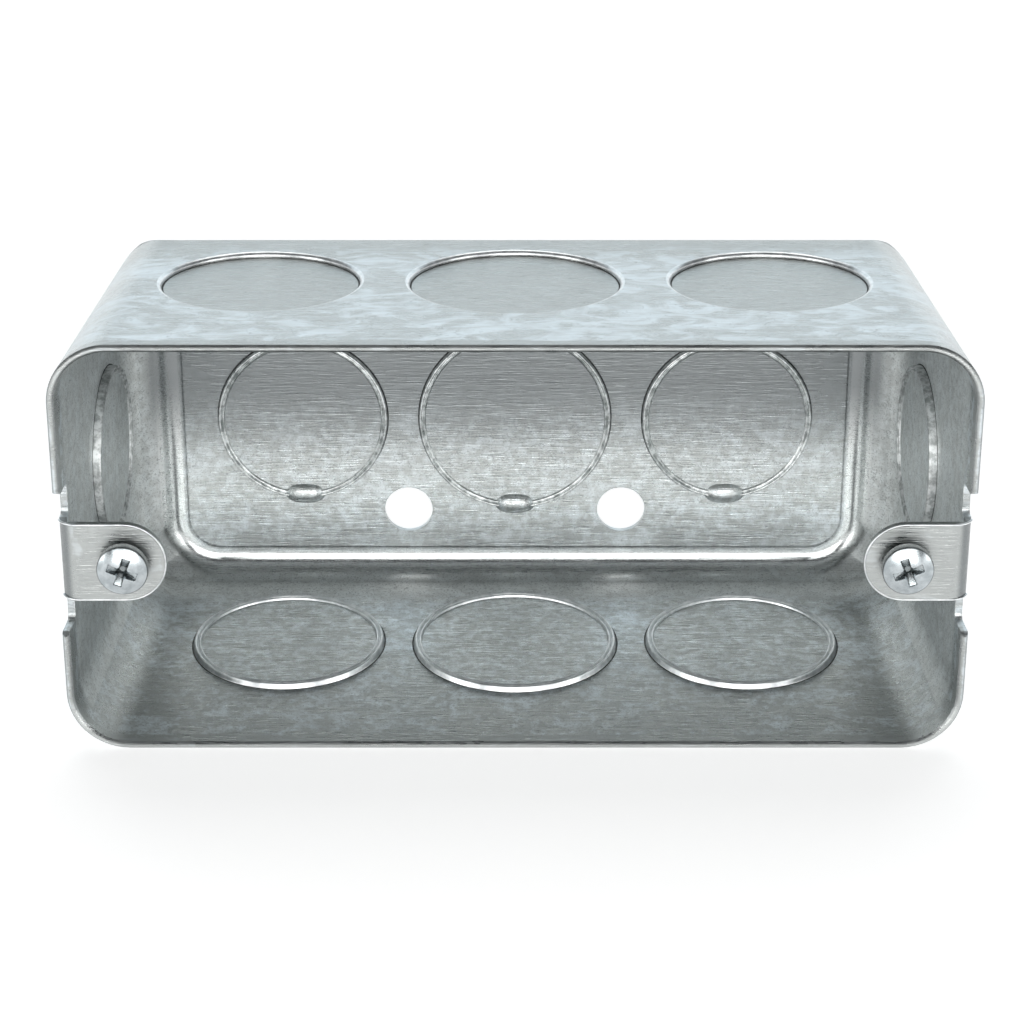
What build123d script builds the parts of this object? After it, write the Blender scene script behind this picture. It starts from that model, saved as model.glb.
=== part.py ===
from build123d import *
import math
import os

os.makedirs("parts", exist_ok=True)

# Drawn shell. X runs along the box, +Y points out through its back and Z is up.
# The origin is midway between the fixing holes, on the back's outer face, and the rim is y = -depth.
length = 97.6
height = 47.1
depth = 42.4
sheet = 0.8
end_draft = 3.0
side_draft = 2.1
corner_radius = 6.6
end_radius = 6.7
base_radius = 3.8
rim_bevel = 0.28

# Flat of the back, pressed outwards inside the drawn radius
panel_step = 0.2
panel_end_margin = 0.1
panel_side_margin = 0.05
panel_corner = 4.0
panel_slope = 40.0

# Knockouts: slugs punched inwards until only a web still holds them, thicker in the lower long wall.
# The mouth flares over a share of the slug's travel.
knock_web = 0.15
lower_web = 0.5
flare_share = 0.75

# Three knockouts in each long wall, measured from the rim
upper_pitch = 28.1
lower_pitch = 26.4
side_depth = 23.0
side_small_diameter = 21.9
side_large_diameter = 23.3

# Three knockouts in the back, below mid-height, each with a pry bead on its lower edge
back_pitch = 25.4
back_drop = 1.1
back_small_diameter = 20.2
back_large_diameter = 22.9
bead_length = 4.8
bead_crest = 1.6
bead_width = 2.7
bead_wall = 0.55
bead_rise = 0.5

# One knockout in each end wall, measured from the rim and from mid-height
end_diameter = 19.4
end_depth = 26.8
end_rise = 0.9

# Two holes through the back for fixing the box, above its lower long wall
hole_diameter = 5.8
hole_spacing = 25.8
hole_height = 10.45

# Ears folded in from the end walls below mid-height, each between two relief notches
screw_inset = 7.13
ear_drop = 1.35
ear_width = 8.9
ear_setback = 0.6
ear_bend = 2.2
ear_lap = 0.2
notch_width = 3.6
notch_round = 0.6
notch_flare = 0.5

# Device screws, left standing a little proud of the ears
thread_diameter = 3.5
thread_clearance = 0.05
head_diameter = 5.5
head_edge = 1.2
head_dome = 0.7
head_lift = 0.9
shank_length = 6.35
cross_span = 3.0
cross_arm = 0.85
cross_depth = 1.2
cross_taper = 12.0
cross_turn = 20.0

# Room that a cutting body takes past the face it cuts
overrun = 1.0

# Sizes that follow from the ones above
mid_z = height / 2 - hole_height
ear_z = mid_z - ear_drop
back_z = mid_z - back_drop
end_slope = math.tan(math.radians(end_draft))
side_slope = math.tan(math.radians(side_draft))
end_across = sheet / math.cos(math.radians(end_draft))
side_across = sheet / math.cos(math.radians(side_draft))
screw_x = length / 2 - screw_inset
ear_front = ear_setback - depth
bend_reach = ear_bend / math.tan(math.radians(90 - end_draft) / 2)
ear_root = ear_setback + bend_reach + ear_lap
notch_depth = ear_root + notch_round
head_seat = ear_front - head_lift


def half_length(from_rim):
    """Half the outside length of the tapering shell at a distance behind its rim."""
    return length / 2 - end_slope * from_rim


def half_height(from_rim):
    """Half its outside height there."""
    return height / 2 - side_slope * from_rim


def drawn_block(inset, front):
    """Tapering block, rounded along its edges, that lies inset within the drawn outside.

    It starts a distance in front of the rim and ends inset within the back. Its plan, drawn out
    upwards and downwards, is cut by its side view, drawn out along the box.
    """
    back = depth - panel_step - inset
    front_half = half_length(-front) - inset * end_across / sheet
    back_half = half_length(back) - inset * end_across / sheet
    front_rise = half_height(-front) - inset * side_across / sheet
    back_rise = half_height(back) - inset * side_across / sheet
    plan = [
        (-front_half, -depth - front),
        (front_half, -depth - front),
        (back_half, back - depth),
        (-back_half, back - depth),
    ]
    side_view = [
        (-depth - front, mid_z - front_rise),
        (back - depth, mid_z - back_rise),
        (back - depth, mid_z + back_rise),
        (-depth - front, mid_z + front_rise),
    ]
    with BuildPart() as block:
        with BuildSketch(Plane.XY.offset(mid_z)):
            with BuildLine():
                Polyline(*plan, close=True)
            make_face()
        extrude(amount=height, both=True)
        with BuildSketch(Plane.YZ):
            with BuildLine():
                Polyline(*side_view, close=True)
            make_face()
        extrude(amount=length, both=True, mode=Mode.INTERSECT)
        upright = block.edges().filter_by(Axis.Z)
        fillet(block.edges().filter_by(Axis.X, reverse=True) - upright, corner_radius - inset)

        # The back's edges: a larger radius at the ends than along the long walls
        with BuildSketch(Plane.XY.offset(mid_z)) as rounded_plan:
            with BuildLine():
                Polyline(*plan, close=True)
            make_face()
            fillet(rounded_plan.vertices().group_by(Axis.Y)[-1], end_radius - inset)
        extrude(amount=height, both=True, mode=Mode.INTERSECT)
        with BuildSketch(Plane.YZ) as rounded_side:
            with BuildLine():
                Polyline(*side_view, close=True)
            make_face()
            fillet(rounded_side.vertices().group_by(Axis.X)[-1], base_radius - inset)
        extrude(amount=length, both=True, mode=Mode.INTERSECT)
    return block.part


def recess(diameter, web):
    """Space that a slug leaves in a wall whose outer face is z = 0, with a flared mouth."""
    radius = diameter / 2
    travel = sheet - web
    flare = flare_share * travel
    with BuildPart() as space:
        with BuildSketch(Plane.XZ):
            with BuildLine():
                Polyline(
                    (0, overrun),
                    (radius + flare + overrun, overrun),
                    (radius, -flare),
                    (radius, -travel),
                    (0, -travel),
                    close=True,
                )
            make_face()
        revolve(axis=Axis.Z)
    return space.part


def slug(diameter, web):
    """Slug punched inwards from that wall, from inside its web to its inner face."""
    with BuildPart() as disc:
        with BuildSketch(Plane.XY.offset(web - 2 * sheet)):
            Circle(diameter / 2)
        extrude(amount=sheet - web / 2)
    return disc.part


def back_plane(x, y, z):
    """Plane parallel to the back that faces out of it, with its y axis pointing down."""
    return Plane((x, y, z), x_dir=(1, 0, 0), z_dir=(0, 1, 0))


def side_plane(x, up):
    """Plane on the outer face of the upper (up = 1) or lower (up = -1) long wall."""
    centre = (x, side_depth - depth, mid_z + up * half_height(side_depth))
    return Plane(centre, x_dir=(1, 0, 0), z_dir=(0, side_slope, up))


def end_plane(end):
    """Plane on the outer face of the end wall at +X (end = 1) or -X (end = -1)."""
    centre = (end * half_length(end_depth), end_depth - depth, mid_z + end_rise)
    return Plane(centre, z_dir=(end, end_slope, 0))


# Each knockout's diameter and web, with the planes on the walls' outer faces that it is punched from
outer_backs = (-back_pitch, back_pitch)
knockouts = [
    (side_small_diameter, knock_web, [side_plane(x, 1) for x in (-upper_pitch, upper_pitch)]),
    (side_large_diameter, knock_web, [side_plane(0, 1)]),
    (side_small_diameter, lower_web, [side_plane(x, -1) for x in (-lower_pitch, lower_pitch)]),
    (side_large_diameter, lower_web, [side_plane(0, -1)]),
    (back_small_diameter, knock_web, [back_plane(x, 0, back_z) for x in outer_backs]),
    (back_large_diameter, knock_web, [back_plane(0, 0, back_z)]),
    (end_diameter, knock_web, [end_plane(end) for end in (1, -1)]),
]
punched = [(recess(diameter, web), slug(diameter, web), planes) for diameter, web, planes in knockouts]

# Pry bead on the lower edge of each back knockout: half a barrel with tapering ends
bead_z = back_z + bead_rise
bead_planes = [back_plane(x, -sheet, bead_z - back_small_diameter / 2) for x in outer_backs]
bead_planes.append(back_plane(0, -sheet, bead_z - back_large_diameter / 2))
with BuildPart() as bead:
    with BuildSketch():
        with BuildLine():
            Polyline(
                (-bead_length / 2, 0),
                (-bead_crest / 2, -bead_width / 2),
                (bead_crest / 2, -bead_width / 2),
                (bead_length / 2, 0),
                close=True,
            )
        make_face()
    revolve(axis=Axis.X, revolution_arc=180)

# Hollow behind the bead, sunk from the back's outer face to a wall's thickness below its crest
with BuildPart() as bead_hollow:
    with BuildSketch(Plane.XY.offset(sheet + overrun)):
        Rectangle(bead_length - 4 * bead_wall, bead_width - 2 * bead_wall)
    extrude(amount=-sheet - overrun - bead_width / 2 + 2 * bead_wall)

# Ear at the +X end: the end wall runs on forwards, bends inwards and ends round the screw
with BuildPart() as ear:
    with BuildSketch(Plane.XY.offset(ear_z)) as fold:
        with BuildLine():
            Polyline(
                (half_length(ear_root), ear_root - depth),
                (half_length(ear_setback), ear_front),
                (screw_x, ear_front),
                (screw_x, ear_front + sheet),
                (half_length(ear_setback + sheet) - end_across, ear_front + sheet),
                (half_length(ear_root) - end_across, ear_root - depth),
                close=True,
            )
        make_face()
        bend_front = fold.vertices().group_by(Axis.Y)[0].sort_by(Axis.X)[-1]
        bend_behind = fold.vertices().group_by(Axis.Y)[1].sort_by(Axis.X)[-1]
        fillet(bend_front, ear_bend)
        fillet(bend_behind, ear_bend - sheet)
    extrude(amount=ear_width / 2, both=True)
    with BuildSketch(Plane((screw_x, ear_front + sheet, ear_z), z_dir=(0, -1, 0))):
        Circle(ear_width / 2)
    extrude(amount=sheet)
    with Locations(Plane((screw_x, ear_front, ear_z), z_dir=(0, -1, 0))):
        Hole(radius=thread_diameter / 2 + thread_clearance, depth=sheet + overrun)

# Shell: drawn from one sheet, then pressed, punched and folded
outside = drawn_block(0, 0)
cavity = drawn_block(sheet, overrun)
with BuildPart() as box_shell:
    add(outside)
    add(cavity, mode=Mode.SUBTRACT)
    chamfer(box_shell.faces().sort_by(Axis.Y)[0].edges(), rim_bevel)

    # Pressed flat: a pad outside and a pocket of the same outline inside
    panel_long = 2 * (half_length(depth - panel_step) - end_radius - panel_end_margin)
    panel_high = 2 * (half_height(depth - panel_step) - base_radius - panel_side_margin)
    for behind, mode in ((panel_step, Mode.ADD), (panel_step + sheet, Mode.SUBTRACT)):
        with BuildSketch(back_plane(0, -behind, mid_z)):
            RectangleRounded(panel_long, panel_high, panel_corner)
        extrude(amount=panel_step, taper=panel_slope, mode=mode)

    # Knockouts, beads and fixing holes
    for space, disc, planes in punched:
        with Locations(*planes):
            add(space, mode=Mode.SUBTRACT)
            add(disc)
    with Locations(*bead_planes):
        add(bead.part)
        add(bead_hollow.part, mode=Mode.SUBTRACT)
    with Locations(back_plane(0, 0, 0)):
        with GridLocations(hole_spacing, 0, 2, 1):
            Hole(radius=hole_diameter / 2, depth=sheet + overrun)

    # Relief notches through both end walls, and the strip between them that the ear replaces
    strip = ear_width / 2
    notch_side = strip + notch_width
    flare_reach = notch_flare + overrun
    notch_plane = Plane((-length / 2 - overrun, 0, ear_z), x_dir=(0, 1, 0), z_dir=(1, 0, 0))
    with BuildSketch(notch_plane) as notches:
        with BuildLine():
            upper = Polyline(
                (-depth - overrun, 0),
                (-depth - overrun, notch_side + flare_reach),
                (-depth + notch_flare, notch_side),
                (-depth + notch_depth, notch_side),
                (-depth + notch_depth, strip),
                (-depth + ear_root - ear_lap / 2, strip),
                (-depth + ear_root - ear_lap / 2, 0),
            )
            mirror(upper, about=Plane.XZ)
        make_face()
        fillet(notches.vertices().group_by(Axis.X)[-1], notch_round)
    extrude(amount=length + 2 * overrun, mode=Mode.SUBTRACT)
    add(ear.part)
    mirror(ear.part, about=Plane.YZ)

box_shell.part.label = "box_shell"
export_step(box_shell.part, "parts/box_shell.step")

# Device screw along Y, with the underside of its domed head on y = 0
with BuildPart() as screw:
    thread_radius = thread_diameter / 2
    head_radius = head_diameter / 2
    crown_radius = (head_radius**2 + head_dome**2) / (2 * head_dome)
    with BuildSketch():
        with BuildLine():
            Polyline(
                (0, -head_edge - head_dome),
                (0, shank_length),
                (thread_radius, shank_length),
                (thread_radius, 0),
                (head_radius, 0),
                (head_radius, -head_edge),
            )
            RadiusArc((head_radius, -head_edge), (0, -head_edge - head_dome), crown_radius)
        make_face()
    revolve(axis=Axis.Y)
    with BuildSketch(Plane.XZ.offset(head_edge + head_dome)):
        Rectangle(cross_span, cross_arm)
        Rectangle(cross_arm, cross_span)
    extrude(amount=-cross_depth, taper=cross_taper, mode=Mode.SUBTRACT)

# Both screws, in the ears
with BuildPart() as device_screws:
    for end in (-1, 1):
        with Locations(Location((end * screw_x, head_seat, ear_z), (0, -end * cross_turn, 0))):
            add(screw.part)

device_screws.part.label = "device_screws"
export_step(device_screws.part, "parts/device_screws.step")
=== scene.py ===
import math

import bmesh
import bpy
from mathutils import Matrix, Vector


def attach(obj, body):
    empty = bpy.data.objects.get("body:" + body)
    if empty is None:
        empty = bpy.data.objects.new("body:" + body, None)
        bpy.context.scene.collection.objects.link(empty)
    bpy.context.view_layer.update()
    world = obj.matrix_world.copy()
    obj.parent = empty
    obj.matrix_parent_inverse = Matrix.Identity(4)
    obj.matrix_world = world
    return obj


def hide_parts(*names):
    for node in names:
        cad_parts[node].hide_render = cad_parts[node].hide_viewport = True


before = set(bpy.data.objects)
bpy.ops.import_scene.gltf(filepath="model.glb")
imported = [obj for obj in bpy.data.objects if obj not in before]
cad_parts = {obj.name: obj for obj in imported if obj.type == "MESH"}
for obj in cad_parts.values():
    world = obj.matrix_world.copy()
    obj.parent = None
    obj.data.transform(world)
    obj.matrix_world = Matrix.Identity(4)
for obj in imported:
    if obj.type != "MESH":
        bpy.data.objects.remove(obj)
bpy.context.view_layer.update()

MM = 0.001

# Sizes repeated from the solids, in millimetres
DEPTH = 42.4
SHEET = 0.8
HALF_LENGTH = 48.8
HALF_HEIGHT = 23.55
MID_Z = 13.1
FLOOR_Z = MID_Z - HALF_HEIGHT
END_DRAFT = 3.0
SIDE_DRAFT = 2.1
END_SLOPE = math.tan(math.radians(END_DRAFT))
SIDE_SLOPE = math.tan(math.radians(SIDE_DRAFT))
CORNER_RADIUS = 6.6
INNER_RADIUS = CORNER_RADIUS - SHEET
FLAT_X = 39.9
FLAT_Z = 18.2
FLAT_CORNER = 4.1
INNER_SWEEP = 3.0
END_AXIS = 6.9
LONG_AXIS = 4.0
KNOCK_TRAVEL = 0.65
LOWER_TRAVEL = 0.3
FLARE_SHARE = 0.75
UPPER_PITCH = 28.1
LOWER_PITCH = 26.4
SIDE_DEPTH = 23.0
SIDE_SMALL = 10.95
SIDE_LARGE = 11.65
BACK_PITCH = 25.4
BACK_Z = MID_Z - 1.1
BACK_SMALL = 10.1
BACK_LARGE = 11.45
BEAD_RISE = 0.5
END_DEPTH = 26.8
END_Z = MID_Z + 0.9
END_KNOCK = 9.7
EAR_FRONT = -41.8
EAR_HALF = 4.45
EAR_BEND = 2.2
EAR_Z = MID_Z - 1.35
SCREW_X = 41.67
HEAD_SEAT = -42.7
HEAD_RADIUS = 2.75
HEAD_EDGE = 1.2
HEAD_DOME = 0.7
SHANK_LENGTH = 6.35
THREAD_RADIUS = 1.75
THREAD_ROOT = 1.36
THREAD_PITCH = 0.794
CROSS_TURN = 20.0

# Where the finish of the sheet, and the shade and highlights painted on it, change: bands that a mask
# rises over, in millimetres
PAST_INNER_WALL = (INNER_RADIUS + 0.04, INNER_RADIUS + 0.12)
PAST_SLUG_WALL = (INNER_RADIUS + 0.3, INNER_RADIUS + 0.5)
PAST_INNER_BACK = (0.03 - SHEET, 0.11 - SHEET)
OFF_RIM = (0.2 - DEPTH, 0.35 - DEPTH)
ON_LONG_WALL = (20.5, 21.0)
NEAR_LOWER_WALL = (18.5, 19.5)

# Colours and surface of the zinc
SHEET_DARK = (0.45, 0.468, 0.463, 1)
SHEET_PALE = (0.78, 0.84, 0.875, 1)
SHEET_RUBBED = (0.70, 0.72, 0.715, 1)
SHEET_PAINTED_HIGHLIGHT = (0.90, 0.925, 0.915, 1)
# Painted shade, also the colour of the dark pits and creases in the zinc
SHEET_SHADE_AND_PITS = (0.225, 0.24, 0.245, 1)
SHEET_DULL = 0.24
SHEET_RELIEF = 0.055
SHEAR_DULL = (0.40, 0.42, 0.42, 1)
SHEAR_BRIGHT = (0.80, 0.82, 0.82, 1)
LIP_DULL = (0.66, 0.69, 0.70, 1)
LIP_BRIGHT = (0.86, 0.88, 0.89, 1)
GAP_DARK = (0.012, 0.012, 0.013, 1)
GAP_SHADE_PALER = (0.09, 0.093, 0.095, 1)
PLATING_DARK = (0.40, 0.44, 0.46, 1)
PLATING_PALE = (0.57, 0.61, 0.63, 1)
PLATING_SKIRT = (0.10, 0.108, 0.11, 1)
PLATING_RECESS = (0.055, 0.06, 0.055, 1)

# Studio, in metres; a soft light is its place, width, height, radiance and colour
PAPER = (0.80, 0.80, 0.80, 1)
WHITE = (1, 1, 1, 1)
FLOOR_GLOW = 0.59
BACKDROP_GLOW = 1.0
STUDIO_RADIUS = 4.5
BACKDROP_TALL = 0.8
WORLD_COLOUR = (0.94, 0.97, 1.0, 1)
WORLD_STRENGTH = 0.16
COOL = (0.83, 0.945, 1.0)
PLAIN = (1.0, 1.0, 0.985)
LIGHT_TARGET = (0, 0, 0.01)
SOFT_LIGHTS = {
    "back_light": ((0.0, 1.0, 0.46), 2.4, 0.5, 1.08, COOL),
    "front_light": ((0.0, -1.0, 0.27), 1.0, 0.52, 3.1, PLAIN),
    "top_light": ((0.0, 0.45, 1.0), 0.9, 0.6, 2.0, PLAIN),
    "left_light": ((-0.88, -0.56, 0.22), 0.5, 0.5, 3.0, PLAIN),
    "right_light": ((0.88, -0.56, 0.22), 0.5, 0.5, 2.4, PLAIN),
}
CAMERA_SENSOR = 36.0
CAMERA_LENS = 98.11
CAMERA_PLACE = (-0.345, -312.034, 136.625)
CAMERA_DOWN = 23.757


class Value:
    """A shader socket that takes part in Python expressions; each operator adds a Math node."""

    def __init__(self, shop, socket):
        self.shop = shop
        self.socket = socket

    def math(self, operation, *operands):
        return self.shop.add("ShaderNodeMath", {"operation": operation}, dict(enumerate(operands)))

    def __add__(self, other):
        return self.math("ADD", self, other)

    def __radd__(self, other):
        return self.math("ADD", other, self)

    def __sub__(self, other):
        return self.math("SUBTRACT", self, other)

    def __rsub__(self, other):
        return self.math("SUBTRACT", other, self)

    def __mul__(self, other):
        return self.math("MULTIPLY", self, other)

    def __rmul__(self, other):
        return self.math("MULTIPLY", other, self)

    def __truediv__(self, other):
        return self.math("DIVIDE", self, other)

    def __rtruediv__(self, other):
        return self.math("DIVIDE", other, self)

    def __abs__(self):
        return self.math("ABSOLUTE", self)

    def sign(self):
        return self.math("SIGN", self)

    def most(self, other):
        return self.math("MAXIMUM", self, other)

    def least(self, other):
        return self.math("MINIMUM", self, other)

    def length_with(self, other):
        """Length of the vector whose two components are this and other."""
        return self.math("SQRT", self * self + other * other)

    def over(self, low, high):
        """0 below low, 1 above high and a smooth rise between."""
        return self.shop.add(
            "ShaderNodeMapRange",
            {"interpolation_type": "SMOOTHSTEP", "clamp": True},
            {"Value": self, "From Min": low, "From Max": high},
        )


class Finish:
    """A material whose nodes are added one at a time."""

    def __init__(self, name):
        self.material = bpy.data.materials.new(name)
        self.material.use_nodes = True
        self.tree = self.material.node_tree
        self.tree.nodes.clear()

    def add(self, kind, settings=None, inputs=None, output=0):
        node = self.tree.nodes.new(kind)
        for name, value in (settings or {}).items():
            setattr(node, name, value)
        for name, value in (inputs or {}).items():
            if isinstance(value, Value):
                self.tree.links.new(value.socket, node.inputs[name])
            else:
                node.inputs[name].default_value = value
        return Value(self, node.outputs[output]) if node.outputs else None

    def place(self):
        """Position on the piece in millimetres, as a vector."""
        here = self.add("ShaderNodeTexCoord", output="Object")
        return self.stretch(here, (1 / MM, 1 / MM, 1 / MM))

    def stretch(self, vector, scale):
        return self.add("ShaderNodeVectorMath", {"operation": "MULTIPLY"}, {0: vector, 1: scale})

    def axes(self, vector):
        return [self.add("ShaderNodeSeparateXYZ", inputs={0: vector}, output=i) for i in range(3)]

    def noise(self, vector, scale, detail=3.0, roughness=0.5, distortion=0.0):
        return self.add(
            "ShaderNodeTexNoise",
            inputs={
                "Vector": vector,
                "Scale": scale,
                "Detail": detail,
                "Roughness": roughness,
                "Distortion": distortion,
            },
        )

    def wrinkles(self, vector, scale, width):
        """1 along thin wandering lines, 0 between them."""
        return 1 - abs(self.noise(vector, scale, 2.0, 0.6) - 0.5).over(0.0, width)

    def mix(self, factor, first, second):
        """Colour that runs from first to second."""
        return self.add(
            "ShaderNodeMix", {"data_type": "RGBA"}, {0: factor, 6: first, 7: second}, output=2
        )

    def crevice(self, reach, low, high):
        """0 deep in a corner narrower than reach, 1 on open faces."""
        return self.add(
            "ShaderNodeAmbientOcclusion",
            {"samples": 3, "only_local": False},
            {"Distance": reach * MM},
            output="AO",
        ).over(low, high)

    def rounded(self, radius):
        """Normal that turns smoothly over sharp edges."""
        return self.add("ShaderNodeBevel", {"samples": 2}, {"Radius": radius * MM})

    def blend(self, factor, first, second):
        """Vector that runs from first to second."""
        return self.add(
            "ShaderNodeMix", {"data_type": "VECTOR"}, {0: factor, 4: first, 5: second}, output=1
        )

    def bump(self, height, distance, normal, strength=1.0):
        return self.add(
            "ShaderNodeBump",
            inputs={"Strength": strength, "Distance": distance * MM, "Height": height, "Normal": normal},
        )

    def shade(self, **inputs):
        names = {key.replace("_", " "): value for key, value in inputs.items()}
        shader = self.add("ShaderNodeBsdfPrincipled", inputs=names)
        self.add("ShaderNodeOutputMaterial", inputs={"Surface": shader})
        return self.material


def galvanised_sheet():
    """Semi-bright zinc on rolled sheet: cloudy patches, fine rolling lines, burnished radii."""
    make = Finish("galvanised_sheet")
    place = make.place()
    x, y, z = make.axes(place)
    rise = abs(z - MID_Z)
    rolled = make.stretch(place, (0.05, 1.0, 1.0))
    cloudy = make.stretch(place, (0.55, 1.0, 1.0))

    # Inner radius round the flat of the back, which the drawing tool rubbed smooth
    past_flat_x = (abs(x) - (FLAT_X - FLAT_CORNER)).most(0.0)
    past_flat_z = (rise - (FLAT_Z - FLAT_CORNER)).most(0.0)
    past_flat = past_flat_x.length_with(past_flat_z)
    sweep = past_flat - FLAT_CORNER
    from_rim = y + DEPTH
    past_end = abs(x) + from_rim * END_SLOPE - (HALF_LENGTH - CORNER_RADIUS)
    past_side = rise + from_rim * SIDE_SLOPE - (HALF_HEIGHT - CORNER_RADIUS)
    wall_depth = past_end.most(0.0).length_with(past_side.most(0.0))
    end_axis = (y + END_AXIS).most(0.0).length_with((abs(x) - FLAT_X).most(0.0))
    long_axis = (y + LONG_AXIS).most(0.0).length_with((rise - FLAT_Z).most(0.0))
    cavity = (1 - end_axis.over(6.2, 6.4)) * (1 - long_axis.over(3.3, 3.5)) * y.over(-9.0, -7.0)
    cavity = cavity * (1 - wall_depth.over(*PAST_SLUG_WALL))
    rubbed = cavity * sweep.over(0.0, 0.4) * (1 - sweep.over(INNER_SWEEP - 0.2, INNER_SWEEP + 0.4))
    corner = past_end.least(past_side).over(0.2, 2.4)

    # Its normal turns in one sweep from the flat to the walls, round the corners too
    turned = (sweep / INNER_SWEEP).most(0.0).least(0.95)
    leaning = turned / past_flat.most(0.1)
    swept = make.add(
        "ShaderNodeCombineXYZ",
        inputs={
            0: x.sign() * past_flat_x * leaning * -1,
            1: turned.math("SQRT", 1 - turned * turned) * -1,
            2: (z - MID_Z).sign() * past_flat_z * leaning * -1,
        },
    )

    # Slugs of the long walls, which keep a plainer face
    slugs = []
    for up, pitch in ((1, UPPER_PITCH), (-1, LOWER_PITCH)):
        along = y - (SIDE_DEPTH - DEPTH)
        beside = (abs(x) - pitch).length_with(along) - SIDE_SMALL
        amid = x.length_with(along) - SIDE_LARGE
        on_side = ((z - MID_Z) * up).over(*ON_LONG_WALL)
        slugs.append((1 - beside.least(amid).over(-0.2, 0.1)) * on_side)
    upper_slug, lower_slug = slugs

    clouds = make.noise(cloudy, 0.24, 3.0, 0.65, 1.2).over(0.42, 0.62)
    blots = make.noise(place, 0.55, 2.0, 0.6, 0.5).over(0.38, 0.72)
    lines = make.noise(rolled, 2.4, 2.0, 0.75)
    grain = make.noise(rolled, 8.0, 1.0, 0.6)
    specks = make.noise(place, 5.0, 1.0, 0.7)
    patches = make.noise(place, 0.9, 2.0, 0.7).over(0.3, 0.7)
    pits = specks.over(0.55, 0.70)
    creases = make.wrinkles(cloudy, 0.75, 0.016) * blots.over(0.2, 0.6)

    # Pale bloom on the open walls, thin on the slugs and on the flat of the back
    inside = 1 - y.over(*PAST_INNER_BACK)
    inner_back = y.over(-9.0, -4.0) * inside
    indoors = inside * (1 - wall_depth.over(*PAST_INNER_WALL)) * y.over(-41.6, -41.2)
    bloom = clouds * (1 - 0.8 * upper_slug.most(lower_slug)) * (1 - 0.6 * inner_back)

    # Painted shade on the flat of the back, under the upper wall and along its foot, and a painted
    # highlight across its middle
    flat = y.over(-3.0, -1.5) * inside
    shaded = flat * z.over(5.0, 17.0) * 0.95 + flat * (1 - z.over(-5.5, 1.5)) * 0.5
    middle = flat * z.over(-3.0, 4.0) * (1 - z.over(6.0, 12.0))
    low_down = (MID_Z - z).over(*NEAR_LOWER_WALL)
    front_floor = indoors * low_down * (1 - y.over(-30.0, -18.0)) * (1 - lower_slug)
    end_band = rubbed * abs(x).over(FLAT_X - 3.0, FLAT_X)
    on_inner_end = past_end.over(4.4, 4.7) * (1 - past_end.over(*PAST_INNER_WALL))
    inner_end = on_inner_end * y.over(-40.0, -38.0)
    heel = cavity * sweep.over(INNER_SWEEP - 0.3, INNER_SWEEP + 0.3)
    behind = y.over(-12.0, -5.0) * (1 - y.over(-4.4, -3.8)) * low_down
    # Painted highlight: paler colour on the inner end walls, the floor behind the flat, the heel of the
    # sweep, the rounded corners, the middle of the flat and the bands on the end radii
    bright = (inner_end * 0.75).most(behind * 0.9).most(heel * 0.6).most(corner * 0.3)
    bright = bright.most(middle * 0.35).most(end_band)
    # Painted shade: the top wall darker towards its back
    far_top = y.over(-14.0, -3.0) * (z - MID_Z).over(*ON_LONG_WALL)
    ear = (1 - y.over(-41.0, -40.5)) * (1 - abs(x).over(48.3, 48.5))
    rim = 1 - y.over(*OFF_RIM)
    # Painted shade: dark bands along the outer and inner edges of the rim
    outline = rim * (wall_depth.over(6.36, 6.5) + 1 - wall_depth.over(5.9, 6.04))
    # Painted shade: a dark band over the bend of each ear
    bend = (1 - y.over(-40.0, -39.5)) * abs(x).over(47.1, 47.9) * (1 - abs(z - EAR_Z).over(4.5, 4.6))

    tone = bloom * 0.6 + blots * 0.15 + lines.over(0.3, 0.75) * 0.25 + indoors * (patches - 0.5) * 0.7
    tone = tone - upper_slug * 0.45 - ear * 0.6 - far_top * 0.6 - front_floor * 0.3
    zinc = make.mix(tone, SHEET_DARK, SHEET_PALE)
    zinc = make.mix(rubbed * 0.6, zinc, SHEET_RUBBED)
    zinc = make.mix(bright * (0.7 + patches * 0.3), zinc, SHEET_PAINTED_HIGHLIGHT)
    zinc = make.mix(indoors * pits * 0.5, zinc, SHEET_SHADE_AND_PITS)
    zinc = make.mix(shaded.most(bend * 0.9), zinc, SHEET_SHADE_AND_PITS)
    zinc = make.mix(outline * 0.7, zinc, SHEET_SHADE_AND_PITS)
    zinc = make.mix(creases * (1 - ear) * 0.5, zinc, SHEET_SHADE_AND_PITS)
    gloss = rubbed * (1 - sweep.over(1.3, 2.1))
    dull = (SHEET_DULL + bloom * 0.10 + grain.over(0.35, 0.7) * 0.14) * (1 - 0.55 * gloss)
    relief = lines * 0.5 + grain * 0.6 + specks * 0.3
    round_corner = past_flat_z.over(0.0, 2.0) * past_flat_x.over(0.0, 2.0)
    past_sweep = (sweep - round_corner * 0.6).over(1.9, 2.9) * (1 - round_corner * 0.5)
    on_sweep = cavity * sweep.over(0.0, 0.1) * (1 - past_sweep)
    normal = make.blend(on_sweep, make.rounded(0.22), swept)
    normal = make.blend(inner_end * 0.16, normal, (0, -1, 0))
    return make.shade(
        Base_Color=zinc,
        Metallic=1.0,
        Roughness=dull + heel * 0.2 + inner_end * 0.06,
        Normal=make.bump(relief, SHEET_RELIEF, normal, 1 - 0.85 * rubbed),
    )


def sheared_edge():
    """Bright band where a slug was sheared from its wall, smeared in short streaks."""
    make = Finish("sheared_edge")
    place = make.place()
    smears = make.noise(place, 1.1, 4.0, 0.65).over(0.36, 0.62)
    specks = make.noise(place, 5.0, 2.0, 0.6)
    at_ends = abs(make.axes(place)[0]).over(44.0, 45.0)
    zinc = make.mix(smears, SHEAR_DULL, SHEAR_BRIGHT)
    return make.shade(
        Base_Color=zinc,
        Metallic=1.0,
        Roughness=0.22 + specks * 0.14 + at_ends * 0.22,
    )


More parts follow.
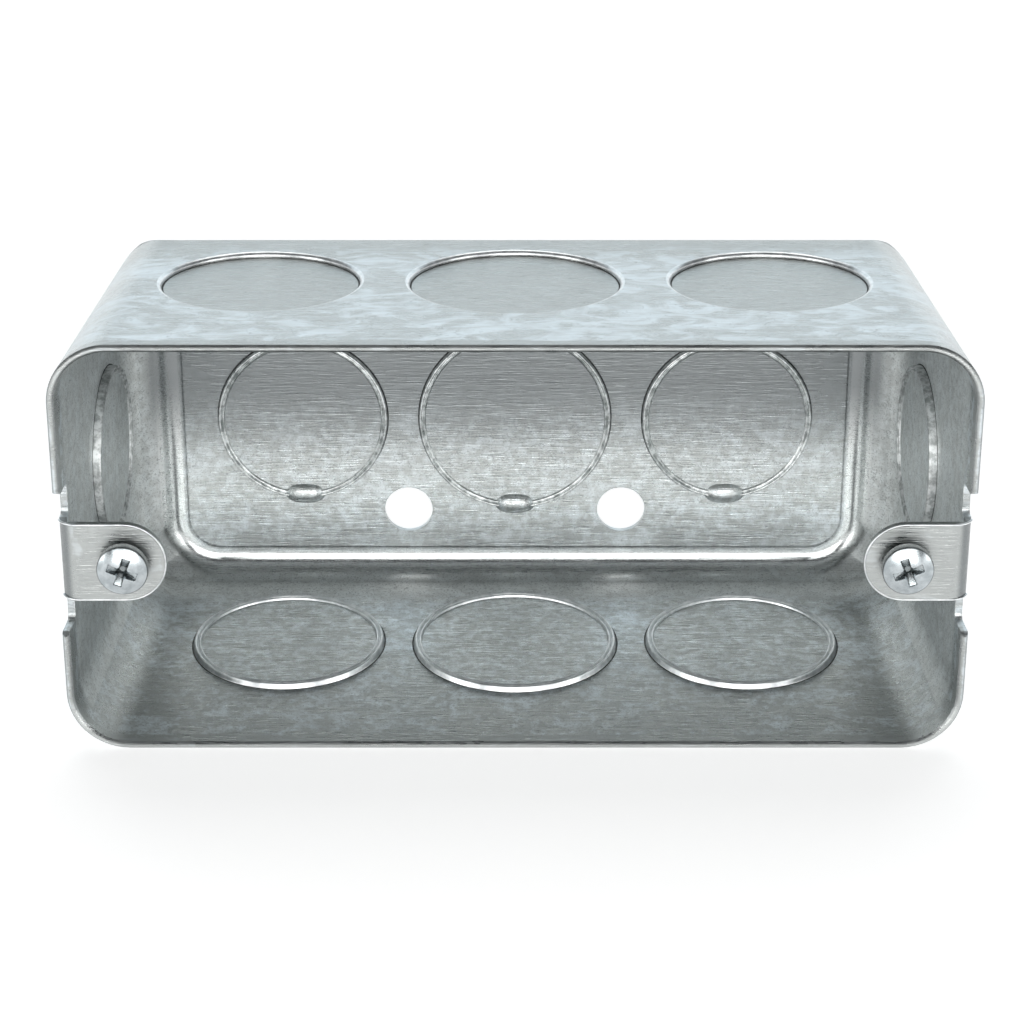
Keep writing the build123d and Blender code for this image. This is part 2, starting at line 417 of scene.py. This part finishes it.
def burnished_lip():
    """Bright rolled edge round the mouth of a knockout."""
    make = Finish("burnished_lip")
    place = make.place()
    smears = make.noise(place, 0.9, 3.0, 0.6).over(0.35, 0.65)
    zinc = make.mix(smears, LIP_DULL, LIP_BRIGHT)
    return make.shade(Base_Color=zinc, Metallic=1.0, Roughness=0.28 + smears * 0.08)


def shear_gap():
    """Painted shade: near-black colour for the dark crack between a slug and its wall."""
    make = Finish("shear_gap")
    gap_shade_patches = make.noise(make.place(), 2.0, 3.0, 0.6).over(0.45, 0.75)
    gap_shade = make.mix(gap_shade_patches, GAP_DARK, GAP_SHADE_PALER)
    return make.shade(Base_Color=gap_shade, Metallic=0.3, Roughness=0.6)


def zinc_plated_steel():
    """Bright plating with faint turning marks."""
    make = Finish("zinc_plated_steel")
    place = make.place()
    x, _, z = make.axes(place)
    from_axis = (abs(x) - SCREW_X).length_with(z - EAR_Z)
    # Painted shade: a near-black band round the edge of the head
    skirt = from_axis.over(HEAD_RADIUS - 0.16, HEAD_RADIUS - 0.05)
    blots = make.noise(place, 0.9, 3.0, 0.55).over(0.3, 0.7)
    specks = make.noise(place, 7.0, 2.0, 0.6)
    zinc = make.mix(blots, PLATING_DARK, PLATING_PALE)
    zinc = make.mix(skirt * 0.85, zinc, PLATING_SKIRT)
    # Painted shade: the cross recess and other tight corners darkened by ambient occlusion
    zinc = make.mix(make.crevice(1.2, 0.2, 0.75), PLATING_RECESS, zinc)
    return make.shade(
        Base_Color=zinc,
        Metallic=1.0,
        Roughness=0.17 + specks * 0.10,
        Normal=make.bump(specks, 0.004, make.rounded(0.06)),
    )


def finished_mesh(name, mesh, crease, material):
    """Object of a mesh in metres, smooth but for edges sharper than crease degrees."""
    bmesh.ops.remove_doubles(mesh, verts=mesh.verts, dist=1e-7)
    bmesh.ops.recalc_face_normals(mesh, faces=mesh.faces)
    for face in mesh.faces:
        face.smooth = True
    for edge in mesh.edges:
        if len(edge.link_faces) == 2:
            edge.smooth = edge.calc_face_angle() < math.radians(crease)
    data = bpy.data.meshes.new(name)
    mesh.to_mesh(data)
    mesh.free()
    data.materials.append(material)
    piece = bpy.data.objects.new(name, data)
    bpy.context.scene.collection.objects.link(piece)
    return piece


def of_the_shell(piece):
    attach(piece, "root")


def on_wall(x, y, z, outwards):
    """Placement whose z axis leaves a wall at a point in millimetres."""
    turn = Vector(outwards).to_track_quat("Z", "Y").to_matrix().to_4x4()
    return Matrix.Scale(MM, 4) @ Matrix.Translation((x, y, z)) @ turn


def knockouts(names):
    """Radius and placement, on the wall's outer face, of every knockout in the named walls."""
    walls = {"upper": [], "lower": [], "back": [], "ends": []}
    for name, up, pitch in (("upper", 1, UPPER_PITCH), ("lower", -1, LOWER_PITCH)):
        wall = MID_Z + up * (HALF_HEIGHT - SIDE_SLOPE * SIDE_DEPTH)
        for x, radius in ((-pitch, SIDE_SMALL), (0, SIDE_LARGE), (pitch, SIDE_SMALL)):
            place = on_wall(x, SIDE_DEPTH - DEPTH, wall, (0, SIDE_SLOPE, up))
            walls[name].append((radius, place))
    for x, radius in ((-BACK_PITCH, BACK_SMALL), (0, BACK_LARGE), (BACK_PITCH, BACK_SMALL)):
        walls["back"].append((radius, on_wall(x, 0, BACK_Z, (0, 1, 0))))
    wall = HALF_LENGTH - END_SLOPE * END_DEPTH
    for end in (-1, 1):
        place = on_wall(end * wall, END_DEPTH - DEPTH, END_Z, (end, END_SLOPE, 0))
        walls["ends"].append((END_KNOCK, place))
    return [knockout for name in names for knockout in walls[name]]


def ring_round(mesh, radius, place, section, steps=160):
    """Closed ring whose cross-section is (offset from the radius, depth below the outer face)."""
    loops = []
    for i in range(steps):
        angle = 2 * math.pi * i / steps
        across = Vector((math.cos(angle), math.sin(angle), 0))
        loops.append([mesh.verts.new(place @ (across * (radius + off) + Vector((0, 0, -depth))))
                      for off, depth in section])
    for i in range(steps):
        here, there = loops[i], loops[(i + 1) % steps]
        for j in range(len(section)):
            k = (j + 1) % len(section)
            mesh.faces.new((here[j], there[j], there[k], here[k]))


def lip_section(travel):
    """Quarter-round on the flared mouth of a knockout."""
    bend = FLARE_SHARE * travel + 0.01
    turns = [math.radians(90 + 9 * i) for i in range(11)]
    lip = [(bend + (bend + 0.002) * math.cos(a), bend - (bend - 0.002) * math.sin(a)) for a in turns]
    return lip + [(bend * 0.2, bend * 1.1), (bend * 1.1, bend * 0.2)]


def seam_section(travel):
    """Painted shade: a dark line at the foot of that mouth."""
    low, high = travel + 0.02, travel - 0.012
    return [(-0.2, low), (-0.2, high), (0.02, high), (0.02, low)]


def knockout_rings():
    """Rolled lip outside, cracked gap and raised burr inside, round every knockout; the gaps and the
    seams at the mouths' feet are dark rings of painted shade.
    """
    face = KNOCK_TRAVEL + SHEET
    burr = [(-0.03, 0.82), (0.03, 0.82), (0.04, face - 0.05), (0.03, face + 0.10), (-0.01, face + 0.22)]
    burr += [(-0.09, face + 0.30), (-0.19, face + 0.31), (-0.28, face + 0.25), (-0.34, face + 0.12)]
    burr += [(-0.38, face + 0.04), (-0.42, face + 0.05), (-0.47, face + 0.14), (-0.55, face + 0.20)]
    burr += [(-0.63, face + 0.18), (-0.70, face + 0.09), (-0.76, face - 0.004), (-0.6, face - 0.1)]
    burr += [(-0.1, face - 0.25)]
    gap = [(-0.05, SHEET - 0.02), (0.16, SHEET - 0.02), (0.16, SHEET + 0.012), (-0.05, SHEET + 0.012)]

    # The lower wall's slugs moved less, and their edge was struck into two low ridges
    low = LOWER_TRAVEL + SHEET
    ridges = [(0.24, SHEET - 0.02), (0.22, SHEET), (0.16, low - 0.12), (0.10, low + 0.06)]
    ridges += [(0.04, low + 0.24), (-0.03, low + 0.32), (-0.13, low + 0.35), (-0.23, low + 0.30)]
    ridges += [(-0.31, low + 0.18), (-0.36, low + 0.05), (-0.40, low + 0.05), (-0.45, low + 0.16)]
    ridges += [(-0.53, low + 0.27), (-0.63, low + 0.31), (-0.71, low + 0.27), (-0.77, low + 0.14)]
    ridges += [(-0.82, low - 0.004), (-0.7, low - 0.1), (-0.05, 0.85)]
    moat = [(0.15, SHEET - 0.02), (0.36, SHEET - 0.02), (0.36, SHEET + 0.012), (0.15, SHEET + 0.012)]

    deep = ("upper", "back", "ends")
    bright, dark, rolled = sheared_edge(), shear_gap(), burnished_lip()
    for name, walls, section, crease, material in (
        ("slug_burrs", deep, burr, 50, bright),
        ("slug_ridges", ("lower",), ridges, 50, rolled),
        # Painted shade: near-black rings in the cracked gaps and at the foot of each mouth
        ("shear_gaps", deep, gap, 30, dark),
        ("ridge_gaps", ("lower",), moat, 30, dark),
        ("mouth_seams", deep, seam_section(KNOCK_TRAVEL), 30, dark),
        ("lower_mouth_seams", ("lower",), seam_section(LOWER_TRAVEL), 30, dark),
        ("punched_lips", deep, lip_section(KNOCK_TRAVEL), 40, rolled),
        ("lower_punched_lips", ("lower",), lip_section(LOWER_TRAVEL), 40, rolled),
    ):
        mesh = bmesh.new()
        for radius, place in knockouts(walls):
            ring_round(mesh, radius, place, section)
        of_the_shell(finished_mesh(name, mesh, crease, material))


def ear_edges():
    """Bright rounded edge along the front of each ear, from the bend round the tip and back."""
    mesh = bmesh.new()
    thick, inset, sides = 0.13, 0.07, 10
    root = HALF_LENGTH - END_SLOPE * 0.6
    tilt = math.radians(90 - END_DRAFT)
    centre_x = root - EAR_BEND * math.tan(tilt / 2) - 0.06
    bend = []
    for i in range(13):
        angle = math.radians(70) * (1 - i / 12)
        bend.append((centre_x + (EAR_BEND - inset) * math.sin(angle),
                     EAR_FRONT + EAR_BEND - (EAR_BEND - inset) * math.cos(angle)))
    reach = EAR_HALF - inset
    upper = [(x, y, reach) for x, y in bend]
    arc = [math.radians(90 + 6 * i) for i in range(31)]
    tip = [(SCREW_X + reach * math.cos(a), EAR_FRONT + inset, reach * math.sin(a)) for a in arc]
    lower = [(x, y, -z) for x, y, z in reversed(upper)]
    path = [Vector(point) for point in upper + tip + lower]
    for end in (-1, 1):
        rings = []
        for i, point in enumerate(path):
            ahead = (path[min(i + 1, len(path) - 1)] - path[max(i - 1, 0)]).normalized()
            across = ahead.cross(Vector((0, 1, 0.01))).normalized()
            other = ahead.cross(across)
            ring = []
            for j in range(sides):
                turn = 2 * math.pi * j / sides
                spot = point + (across * math.cos(turn) + other * math.sin(turn)) * thick
                ring.append(mesh.verts.new(Vector((spot.x * end, spot.y, spot.z + EAR_Z)) * MM))
            rings.append(ring)
        for here, there in zip(rings, rings[1:]):
            for j in range(sides):
                k = (j + 1) % sides
                mesh.faces.new((here[j], here[k], there[k], there[j]))
        mesh.faces.new(rings[0])
        mesh.faces.new(rings[-1])
    of_the_shell(finished_mesh("ear_edges", mesh, 50, burnished_lip()))


def pry_beads(material):
    """Swollen lump on the lower edge of each back knockout, a thin skin over the solid one."""
    mesh = bmesh.new()
    long, tall, proud, skin = 2.5, 1.42, 1.42, 0.96
    foot = 0.04 - SHEET
    along, round_steps = 40, 28
    for x, radius in ((-BACK_PITCH, BACK_SMALL), (0, BACK_LARGE), (BACK_PITCH, BACK_SMALL)):
        layers = []
        for scale in (1.0, skin):
            rows = []
            for i in range(along + 1):
                u = -1 + 2 * i / along
                u = math.sin(u * math.pi / 2)
                swell = max(0.0, 1 - abs(u) ** 2.8) ** 0.5
                row = []
                for j in range(round_steps + 1):
                    angle = math.pi * j / round_steps
                    point = (
                        x + long * u * scale,
                        foot - proud * scale * swell * math.sin(angle),
                        BACK_Z + BEAD_RISE - radius + tall * scale * swell * math.cos(angle),
                    )
                    row.append(mesh.verts.new(Vector(point) * MM))
                rows.append(row)
            layers.append(rows)
        outer, inner = layers
        for rows in layers:
            for a, b in zip(rows, rows[1:]):
                for j in range(round_steps):
                    mesh.faces.new((a[j], a[j + 1], b[j + 1], b[j]))
        for side in (0, -1):
            for i in range(along):
                mesh.faces.new((outer[i][side], outer[i + 1][side], inner[i + 1][side], inner[i][side]))
    bmesh.ops.remove_doubles(mesh, verts=mesh.verts, dist=1e-7)
    bmesh.ops.dissolve_degenerate(mesh, edges=mesh.edges, dist=1e-8)
    of_the_shell(finished_mesh("pry_beads", mesh, 60, material))


def cross_recess(x, y):
    """Depth of the cross-shaped driver recess below the head's crown."""
    reach, half_arm, wall_slope, floor = 1.62, 0.40, 5.0, 1.3
    deepest = 0.0
    for along, across in ((abs(x), abs(y)), (abs(y), abs(x))):
        side = (half_arm + 0.03 * along - across) * wall_slope
        sloping_end = (reach - along) * 0.75 + 0.12 if along < reach else (reach - along) * 4
        deepest = max(deepest, min(side, sloping_end))
    core = (0.74 - math.hypot(x, y)) * 3.2
    return min(max(deepest, core, 0.0), floor)


def screw_mesh():
    """Screw along Y with its head's underside at y = 0, the crown towards -Y, in millimetres."""
    mesh = bmesh.new()
    turns = 160
    crown = (HEAD_RADIUS**2 + HEAD_DOME**2) / (2 * HEAD_DOME)

    def ring(radius, height):
        step = 2 * math.pi / turns
        return [mesh.verts.new((radius * math.cos(step * i), height, radius * math.sin(step * i)))
                for i in range(turns)]

    def join(first, second):
        for i in range(turns):
            j = (i + 1) % turns
            mesh.faces.new((first[i], first[j], second[j], second[i]))

    # Crown, as rings whose points sink into the recess
    crown_rings = 72
    centre = mesh.verts.new((0, -HEAD_EDGE - HEAD_DOME + cross_recess(0, 0), 0))
    previous = None
    for k in range(1, crown_rings + 1):
        radius = HEAD_RADIUS * 0.965 * k / crown_rings
        circle = ring(radius, -HEAD_EDGE - HEAD_DOME + crown - math.sqrt(crown**2 - radius**2))
        for vert in circle:
            vert.co.y += cross_recess(vert.co.x, vert.co.z)
        if previous:
            join(previous, circle)
        else:
            for i in range(turns):
                mesh.faces.new((centre, circle[i], circle[(i + 1) % turns]))
        previous = circle

    # Rounded edge, underside and root of the shank
    for radius, height in (
        (HEAD_RADIUS * 0.985, -HEAD_EDGE - 0.02),
        (HEAD_RADIUS * 0.997, -HEAD_EDGE + 0.07),
        (HEAD_RADIUS, -HEAD_EDGE + 0.2),
        (HEAD_RADIUS, -0.16),
        (HEAD_RADIUS - 0.05, -0.04),
        (HEAD_RADIUS - 0.17, 0.0),
        (THREAD_RADIUS + 0.05, 0.0),
        (THREAD_ROOT, 0.08),
    ):
        circle = ring(radius, height)
        join(previous, circle)
        previous = circle

    # Helical thread that fades in under the head and runs out at the point
    steps = 110
    start, point = 0.08, 0.55
    for k in range(1, steps + 1):
        height = start + (SHANK_LENGTH - start) * k / steps
        circle = ring(1.0, height)
        fade = min(1.0, (height - start) / 0.5)
        left = min(1.0, (SHANK_LENGTH - height) / point)
        for i, vert in enumerate(circle):
            phase = (height / THREAD_PITCH - i / turns) % 1.0
            ridge = min(1.0, max(0.0, 1.35 - abs(phase - 0.5) * 3.4))
            radius = THREAD_ROOT + (THREAD_RADIUS - THREAD_ROOT) * ridge * fade
            radius = min(radius, THREAD_RADIUS - point * (1 - left))
            vert.co.x *= radius
            vert.co.z *= radius
        join(previous, circle)
        previous = circle
    mesh.faces.new(previous)
    return mesh


def device_screw(name, end, material):
    mesh = screw_mesh()
    turn = Matrix.Rotation(math.radians(-end * CROSS_TURN), 4, "Y")
    shift = Matrix.Translation((end * SCREW_X, HEAD_SEAT, EAR_Z))
    bmesh.ops.transform(mesh, matrix=Matrix.Scale(MM, 4) @ shift @ turn, verts=mesh.verts)
    piece = finished_mesh(name, mesh, 35, material)
    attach(piece, "root")
    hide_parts("device_screws")


def studio_paper(name, glow):
    """Matt paper that the camera and the metal see brighter than it lights the room."""
    make = Finish(name)
    camera_ray, glossy_ray, clear_ray = [
        make.add("ShaderNodeLightPath", output=kind)
        for kind in ("Is Camera Ray", "Is Glossy Ray", "Is Transmission Ray")
    ]
    seen = camera_ray.most(glossy_ray).most(clear_ray)
    paper = make.add("ShaderNodeBsdfDiffuse", inputs={"Color": PAPER})
    glowing = make.add("ShaderNodeEmission", inputs={"Color": WHITE, "Strength": glow})
    lit = make.add("ShaderNodeAddShader", inputs={0: paper, 1: glowing})
    surface = make.add("ShaderNodeMixShader", inputs={0: seen, 1: paper, 2: lit})
    make.add("ShaderNodeOutputMaterial", inputs={"Surface": surface})
    return make.material


def studio_floor():
    """Round sheet of paper, and the same paper standing low round its far edge."""
    steps = 96
    turns = [2 * math.pi * i / steps for i in range(steps)]
    edge = [(STUDIO_RADIUS * math.cos(turn), STUDIO_RADIUS * math.sin(turn)) for turn in turns]
    ground = bmesh.new()
    ground.faces.new([ground.verts.new((x, y, FLOOR_Z * MM)) for x, y in edge])
    finished_mesh("floor", ground, 30, studio_paper("floor_paper", FLOOR_GLOW))
    wall = bmesh.new()
    low = [wall.verts.new((x, y, FLOOR_Z * MM)) for x, y in edge]
    high = [wall.verts.new((x, y, FLOOR_Z * MM + BACKDROP_TALL)) for x, y in edge]
    for i in range(steps):
        j = (i + 1) % steps
        wall.faces.new((low[i], high[i], high[j], low[j]))
    finished_mesh("backdrop", wall, 30, studio_paper("backdrop_paper", BACKDROP_GLOW))


def soft_light(name, place, width, height, radiance, colour):
    """Soft light whose power follows from the brightness of its face."""
    light = bpy.data.lights.new(name, "AREA")
    light.shape = "RECTANGLE"
    light.size = width
    light.size_y = height
    light.energy = radiance * math.pi * width * height
    light.color = colour
    lamp = bpy.data.objects.new(name, light)
    lamp.location = place
    lamp.rotation_mode = "QUATERNION"
    lamp.rotation_quaternion = (Vector(LIGHT_TARGET) - Vector(place)).to_track_quat("-Z", "Y")
    lamp.visible_camera = False
    bpy.context.scene.collection.objects.link(lamp)


def studio():
    studio_floor()
    world = bpy.data.worlds.new("studio")
    world.use_nodes = True
    sky = world.node_tree.nodes["Background"]
    sky.inputs["Color"].default_value = WORLD_COLOUR
    sky.inputs["Strength"].default_value = WORLD_STRENGTH
    bpy.context.scene.world = world
    for name, settings in SOFT_LIGHTS.items():
        soft_light(name, *settings)


def camera():
    data = bpy.data.cameras.new("camera")
    data.sensor_width = CAMERA_SENSOR
    data.lens = CAMERA_LENS
    data.clip_start = 0.01
    eye = bpy.data.objects.new("camera", data)
    eye.location = Vector(CAMERA_PLACE) * MM
    eye.rotation_euler = (math.radians(90 - CAMERA_DOWN), 0, 0)
    bpy.context.scene.collection.objects.link(eye)
    bpy.context.scene.camera = eye


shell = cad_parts["box_shell"]
zinc_sheet = galvanised_sheet()
shell.data.materials.clear()
shell.data.materials.append(zinc_sheet)
knockout_rings()
ear_edges()
pry_beads(zinc_sheet)
plating = zinc_plated_steel()
device_screw("screw_left", -1, plating)
device_screw("screw_right", 1, plating)
studio()
camera()
bpy.context.scene.view_settings.view_transform = "Standard"
